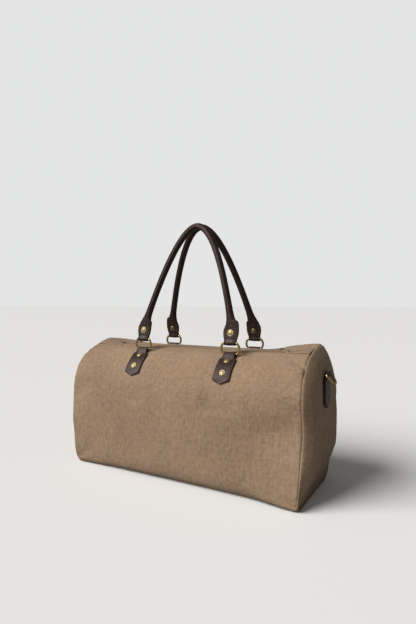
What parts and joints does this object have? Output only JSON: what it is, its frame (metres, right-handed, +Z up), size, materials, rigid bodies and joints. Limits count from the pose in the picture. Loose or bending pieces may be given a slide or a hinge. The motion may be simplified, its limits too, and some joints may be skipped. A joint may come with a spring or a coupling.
{
  "type": "duffel bag",
  "caption": "Soft canvas travel bag with a zipped mouth, a pair of rolled leather handles on brass rings and a strap ring on a leather tab at each end.",
  "frame": {"origin": "middle of the footprint, on the surface that the base rests on", "axes": "+X along the bag towards the end where the closed zip's slider lies, +Y to the back, +Z up"},
  "size_m": [0.606, 0.224, 0.5448],
  "materials": {
    "canvas": "washed heavy cotton canvas, taupe",
    "lining": "plain cotton twill",
    "board": "stiff fibre board",
    "leather": "dark brown full grain, waxed",
    "rope": "twisted cotton rope",
    "brass": "antique brass plate, lightly worn",
    "zip_tape": "woven tape",
    "zip_metal": "dull antique brass",
    "slider_metal": "pale satin plate"
  },
  "bodies": {
    "bag": {"front_panel": "canvas", "back_panel": "canvas", "base_panel": "canvas", "end_panel_right": "canvas", "end_panel_left": "canvas", "lining": "lining", "base_board": "board", "mouth_end_right": "canvas", "mouth_end_left": "canvas", "zip_end_right": "zip_tape", "zip_end_left": "zip_tape", "zip_stops": "zip_metal", "chape_front_left": "leather", "chape_front_right": "leather", "chape_back_left": "leather", "chape_back_right": "leather", "chape_rivets_front": "brass", "chape_rivets_back": "brass", "chape_burrs_front": "brass", "chape_burrs_back": "brass", "end_tab_right": "leather", "end_tab_left": "leather"},
    "front_lip": {"front_lip": "canvas", "zip_tape_front": "zip_tape", "zip_teeth_front": "zip_metal"},
    "back_lip": {"back_lip": "canvas", "zip_tape_back": "zip_tape", "zip_teeth_back": "zip_metal"},
    "zip_slider": {"zip_slider": "slider_metal"},
    "zip_pull": {"zip_pull": "slider_metal"},
    "ring_front_left": {"ring_front_left": "brass"},
    "ring_front_right": {"ring_front_right": "brass"},
    "ring_back_left": {"ring_back_left": "brass"},
    "ring_back_right": {"ring_back_right": "brass"},
    "handle_front": {"handle_front_grip": "leather", "handle_front_core": "rope", "handle_front_end_left": "leather", "handle_front_end_right": "leather", "handle_front_rivets": "brass"},
    "handle_back": {"handle_back_grip": "leather", "handle_back_core": "rope", "handle_back_end_left": "leather", "handle_back_end_right": "leather", "handle_back_rivets": "brass"},
    "d_ring_right": {"d_ring_right": "brass"},
    "d_ring_left": {"d_ring_left": "brass"}
  },
  "joints": [
    {"name": "front_lip_fold", "type": "hinge", "parent": "bag", "child": "front_lip", "pos_m": [0, -0.0375, 0.268], "axis": [1, 0, 0], "range_deg": [0, 80]},
    {"name": "back_lip_fold", "type": "hinge", "parent": "bag", "child": "back_lip", "pos_m": [0, 0.0375, 0.268], "axis": [-1, 0, 0], "range_deg": [0, 80]},
    {"name": "zip_slide", "type": "slide", "parent": "bag", "child": "zip_slider", "axis": [-1, 0, 0], "range_m": [0, 0.416]},
    {"name": "zip_pull_turn", "type": "hinge", "parent": "zip_slider", "child": "zip_pull", "pos_m": [0.208, 0, 0.2722], "axis": [0, -1, 0], "range_deg": [0, 150]},
    {"name": "ring_front_left_turn", "type": "hinge", "parent": "bag", "child": "ring_front_left", "pos_m": [-0.108, -0.06127, 0.26566], "axis": [1, 0, 0], "range_deg": [0, 45]},
    {"name": "ring_front_right_turn", "type": "hinge", "parent": "bag", "child": "ring_front_right", "pos_m": [0.108, -0.06127, 0.26566], "axis": [1, 0, 0], "range_deg": [0, 45]},
    {"name": "handle_front_turn", "type": "hinge", "parent": "ring_front_left", "child": "handle_front", "pos_m": [0, -0.06127, 0.28767], "axis": [1, 0, 0], "range_deg": [0, 85]},
    {"name": "ring_back_left_turn", "type": "hinge", "parent": "bag", "child": "ring_back_left", "pos_m": [-0.108, 0.06127, 0.26566], "axis": [-1, 0, 0], "range_deg": [0, 45]},
    {"name": "ring_back_right_turn", "type": "hinge", "parent": "bag", "child": "ring_back_right", "pos_m": [0.108, 0.06127, 0.26566], "axis": [-1, 0, 0], "range_deg": [0, 45]},
    {"name": "handle_back_turn", "type": "hinge", "parent": "ring_back_left", "child": "handle_back", "pos_m": [0, 0.06127, 0.28767], "axis": [-1, 0, 0], "range_deg": [0, 85]},
    {"name": "d_ring_right_turn", "type": "hinge", "parent": "bag", "child": "d_ring_right", "pos_m": [0.29165, -0.012, 0.233], "axis": [0, -1, 0], "range_deg": [0, 100]},
    {"name": "d_ring_left_turn", "type": "hinge", "parent": "bag", "child": "d_ring_left", "pos_m": [-0.29165, -0.012, 0.233], "axis": [0, 1, 0], "range_deg": [0, 100]}
  ],
  "couplings": [
    {"joint": "ring_front_right_turn", "follows": "ring_front_left_turn", "ratio": 1},
    {"joint": "ring_back_right_turn", "follows": "ring_back_left_turn", "ratio": 1}
  ]
}
